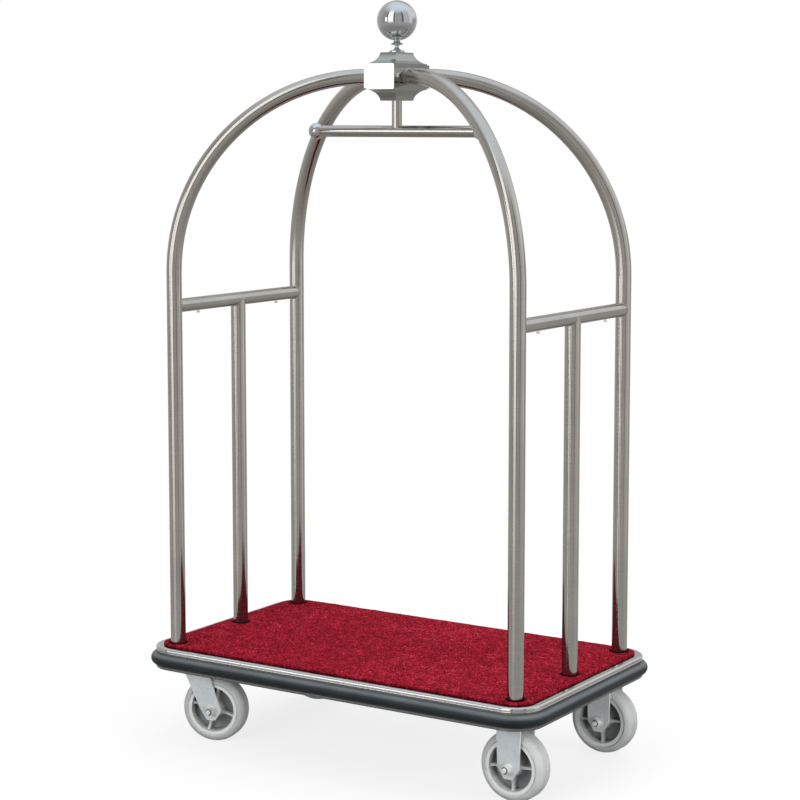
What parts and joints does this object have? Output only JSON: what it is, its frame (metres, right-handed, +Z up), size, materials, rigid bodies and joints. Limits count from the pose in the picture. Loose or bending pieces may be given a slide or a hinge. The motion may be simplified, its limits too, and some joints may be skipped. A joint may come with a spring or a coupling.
{
  "type": "hotel luggage cart",
  "caption": "Birdcage luggage cart: carpeted deck with bumper, bent uprights meeting at a hub with ball finial, hanger bar, rigid and swivel casters.",
  "frame": {"origin": "on the floor under the middle of the deck", "axes": "+X along the deck towards the rigid casters, -Y the front long side, +Z up"},
  "size_m": [1.1276, 0.6636, 1.8465],
  "materials": {
    "tube_steel": "satin brushed stainless",
    "polished_steel": "polished",
    "trim": "polished extrusion",
    "bumper_rubber": "smooth moulded",
    "carpet": "short cut pile",
    "plywood": "raw",
    "frame_paint": "satin powder coat",
    "zinc_plate": "zinc plated, satin",
    "fasteners": "zinc plated",
    "tyre": "smooth grey, non-marking",
    "wheel_core": "moulded grey"
  },
  "bodies": {
    "root": {"arch_tube_back_left": "tube_steel", "arch_tube_back_right": "tube_steel", "arch_tube_front_left": "tube_steel", "arch_tube_front_right": "tube_steel", "axle_bolts_right": "fasteners", "axle_nuts_right": "fasteners", "bumper": "bumper_rubber", "carpet": "carpet", "caster_mount_bolts": "fasteners", "caster_mount_plate_left": "frame_paint", "caster_mount_plate_right": "frame_paint", "deck_board": "plywood", "deck_frame": "frame_paint", "edge_trim": "trim", "finial_ball": "polished_steel", "finial_base": "polished_steel", "hanger_ball_left": "polished_steel", "hanger_ball_right": "polished_steel", "hanger_bar": "tube_steel", "hanger_stem": "tube_steel", "hub_block": "polished_steel", "hub_bottom_cap": "polished_steel", "hub_top_cap": "polished_steel", "kingpin_back": "fasteners", "kingpin_front": "fasteners", "mid_post_left": "tube_steel", "mid_post_right": "tube_steel", "post_bolts": "fasteners", "post_plugs": "fasteners", "rail_joiners": "tube_steel", "rail_set_screws": "fasteners", "rail_stubs": "tube_steel", "rigid_bracket_back": "zinc_plate", "rigid_bracket_front": "zinc_plate", "side_rail_left": "tube_steel", "side_rail_right": "tube_steel", "swivel_plate_back": "zinc_plate", "swivel_plate_front": "zinc_plate"},
    "wheel_front_left": {"tyre_front_left": "tyre", "wheel_core_front_left": "wheel_core", "wheel_bearings_front_left": "fasteners"},
    "wheel_front_right": {"tyre_front_right": "tyre", "wheel_core_front_right": "wheel_core", "wheel_bearings_front_right": "fasteners"},
    "swivel_front": {"swivel_fork_front": "zinc_plate", "swivel_balls_front": "fasteners", "axle_bolt_front_left": "fasteners", "axle_nut_front_left": "fasteners"},
    "wheel_back_left": {"tyre_back_left": "tyre", "wheel_core_back_left": "wheel_core", "wheel_bearings_back_left": "fasteners"},
    "wheel_back_right": {"tyre_back_right": "tyre", "wheel_core_back_right": "wheel_core", "wheel_bearings_back_right": "fasteners"},
    "swivel_back": {"swivel_fork_back": "zinc_plate", "swivel_balls_back": "fasteners", "axle_bolt_back_left": "fasteners", "axle_nut_back_left": "fasteners"}
  },
  "joints": [
    {"name": "swivel_turn_front", "type": "hinge", "parent": "root", "child": "swivel_front", "pos_m": [-0.442, -0.224, 0.18], "axis": [0, 0, 1], "continuous": true},
    {"name": "wheel_roll_front_left", "type": "hinge", "parent": "swivel_front", "child": "wheel_front_left", "pos_m": [-0.4053, -0.21416, 0.083], "axis": [-0.2588, 0.9659, 0], "continuous": true},
    {"name": "wheel_roll_front_right", "type": "hinge", "parent": "root", "child": "wheel_front_right", "pos_m": [0.469, -0.224, 0.083], "axis": [0, 1, 0], "continuous": true},
    {"name": "swivel_turn_back", "type": "hinge", "parent": "root", "child": "swivel_back", "pos_m": [-0.442, 0.224, 0.18], "axis": [0, 0, 1], "continuous": true},
    {"name": "wheel_roll_back_left", "type": "hinge", "parent": "swivel_back", "child": "wheel_back_left", "pos_m": [-0.4053, 0.23383, 0.083], "axis": [-0.2588, 0.9659, 0], "continuous": true},
    {"name": "wheel_roll_back_right", "type": "hinge", "parent": "root", "child": "wheel_back_right", "pos_m": [0.469, 0.224, 0.083], "axis": [0, 1, 0], "continuous": true}
  ]
}
